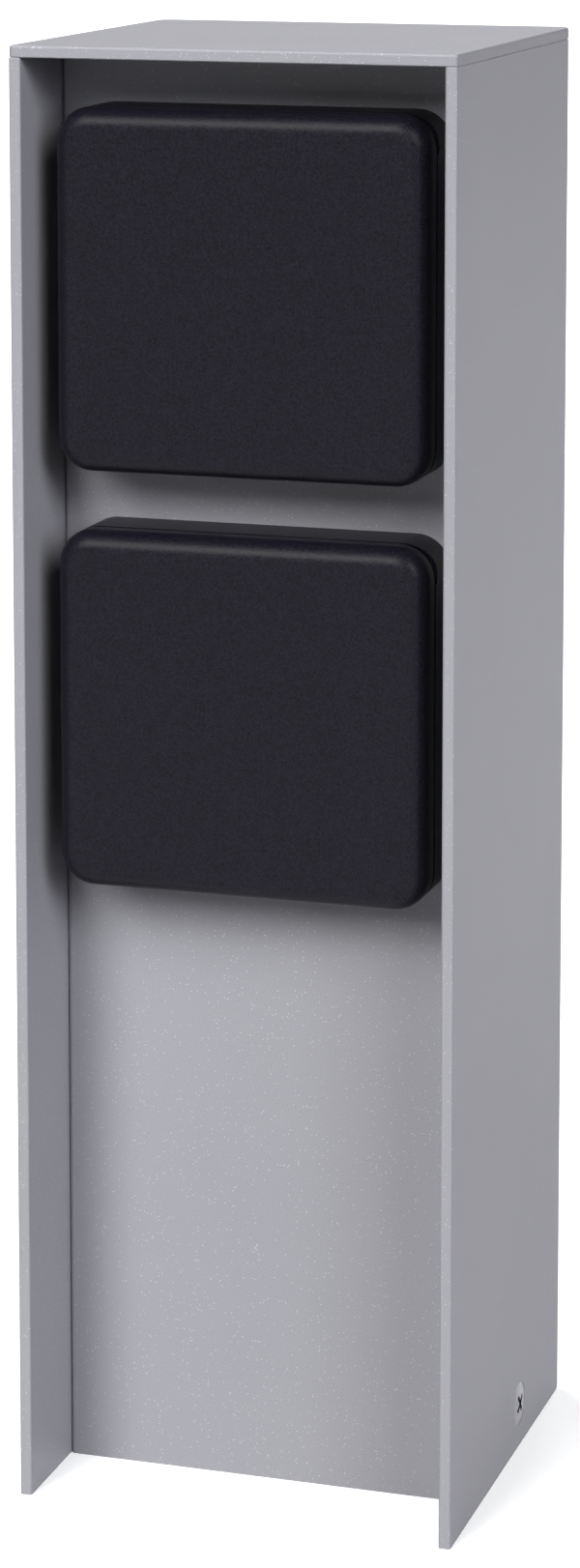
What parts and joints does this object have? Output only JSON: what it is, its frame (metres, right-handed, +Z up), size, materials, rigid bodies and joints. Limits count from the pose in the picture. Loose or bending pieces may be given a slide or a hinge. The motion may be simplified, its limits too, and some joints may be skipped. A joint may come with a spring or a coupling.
{
  "type": "outdoor socket post",
  "caption": "Short folded aluminium garden power post with a recessed front panel and square sockets under sprung black flap lids, one above the other.",
  "frame": {"origin": "middle of the post's footprint, on the surface it stands on", "axes": "+Z up along the post, +X to the right seen from the front, -Y out of the front where the sockets are"},
  "size_m": [0.0902, 0.09, 0.293],
  "materials": {
    "powder_coat_silver": "fine-textured silver-grey powder coat with metallic flake",
    "zinc_plated_steel": "zinc plated",
    "stainless_steel": "bright stainless",
    "spring_steel": "drawn wire",
    "black_plastic": "satin moulded, fine grain",
    "cup_plastic": "satin moulded",
    "block_plastic": "glass-filled moulded, matt",
    "terminal_plastic": "moulded, matt",
    "black_rubber": "matt",
    "brass": "bright",
    "tinned_copper": "tinned",
    "wire_brown": "glossy PVC",
    "wire_blue": "glossy PVC",
    "wire_green_yellow": "glossy PVC"
  },
  "bodies": {
    "post": {"cable_clamp": "cup_plastic", "cable_clamp_screws": "stainless_steel", "cable_grommet": "black_rubber", "cap_skirt": "powder_coat_silver", "carrier_screw": "stainless_steel", "earth_bond_wire": "wire_green_yellow", "earth_link_wire": "wire_green_yellow", "earth_lug": "tinned_copper", "earth_nut": "zinc_plated_steel", "earth_stud": "zinc_plated_steel", "earth_supply_wire": "wire_green_yellow", "earth_washers": "zinc_plated_steel", "foot_bracket": "zinc_plated_steel", "foot_clinch_nuts": "zinc_plated_steel", "foot_screws": "stainless_steel", "live_link_wire": "wire_brown", "live_supply_wire": "wire_brown", "lower_base_screws": "stainless_steel", "lower_block_screws": "stainless_steel", "lower_contact_block": "block_plastic", "lower_earth_bracket": "tinned_copper", "lower_lid_spring": "spring_steel", "lower_live_contact": "brass", "lower_neutral_contact": "brass", "lower_panel_gasket": "black_rubber", "lower_socket_base": "black_plastic", "lower_socket_cup": "cup_plastic", "lower_terminal_screws": "zinc_plated_steel", "neutral_link_wire": "wire_blue", "neutral_supply_wire": "wire_blue", "post_shell": "powder_coat_silver", "socket_panel": "powder_coat_silver", "terminal_block": "terminal_plastic", "terminal_block_screws": "stainless_steel", "terminal_carrier": "zinc_plated_steel", "terminal_clamp_screws": "zinc_plated_steel", "terminal_sleeves": "brass", "top_cap": "powder_coat_silver", "upper_base_screws": "stainless_steel", "upper_block_screws": "stainless_steel", "upper_contact_block": "block_plastic", "upper_earth_bracket": "tinned_copper", "upper_lid_spring": "spring_steel", "upper_live_contact": "brass", "upper_neutral_contact": "brass", "upper_panel_gasket": "black_rubber", "upper_socket_base": "black_plastic", "upper_socket_cup": "cup_plastic", "upper_terminal_screws": "zinc_plated_steel"},
    "lower_lid": {"lower_lid": "black_plastic", "lower_lid_seal": "black_rubber", "lower_hinge_pin": "stainless_steel"},
    "upper_lid": {"upper_lid": "black_plastic", "upper_lid_seal": "black_rubber", "upper_hinge_pin": "stainless_steel"}
  },
  "joints": [
    {"name": "lower_lid_hinge", "type": "hinge", "parent": "post", "child": "lower_lid", "pos_m": [0, -0.036, 0.1932], "axis": [-1, 0, 0], "range_deg": [0, 105], "stiffness_Nm_per_rad": 0.01, "springref_deg": -68.75, "deforming": ["lower_lid_spring"]},
    {"name": "upper_lid_hinge", "type": "hinge", "parent": "post", "child": "upper_lid", "pos_m": [0, -0.036, 0.2766], "axis": [-1, 0, 0], "range_deg": [0, 105], "stiffness_Nm_per_rad": 0.01, "springref_deg": -68.75, "deforming": ["upper_lid_spring"]}
  ]
}
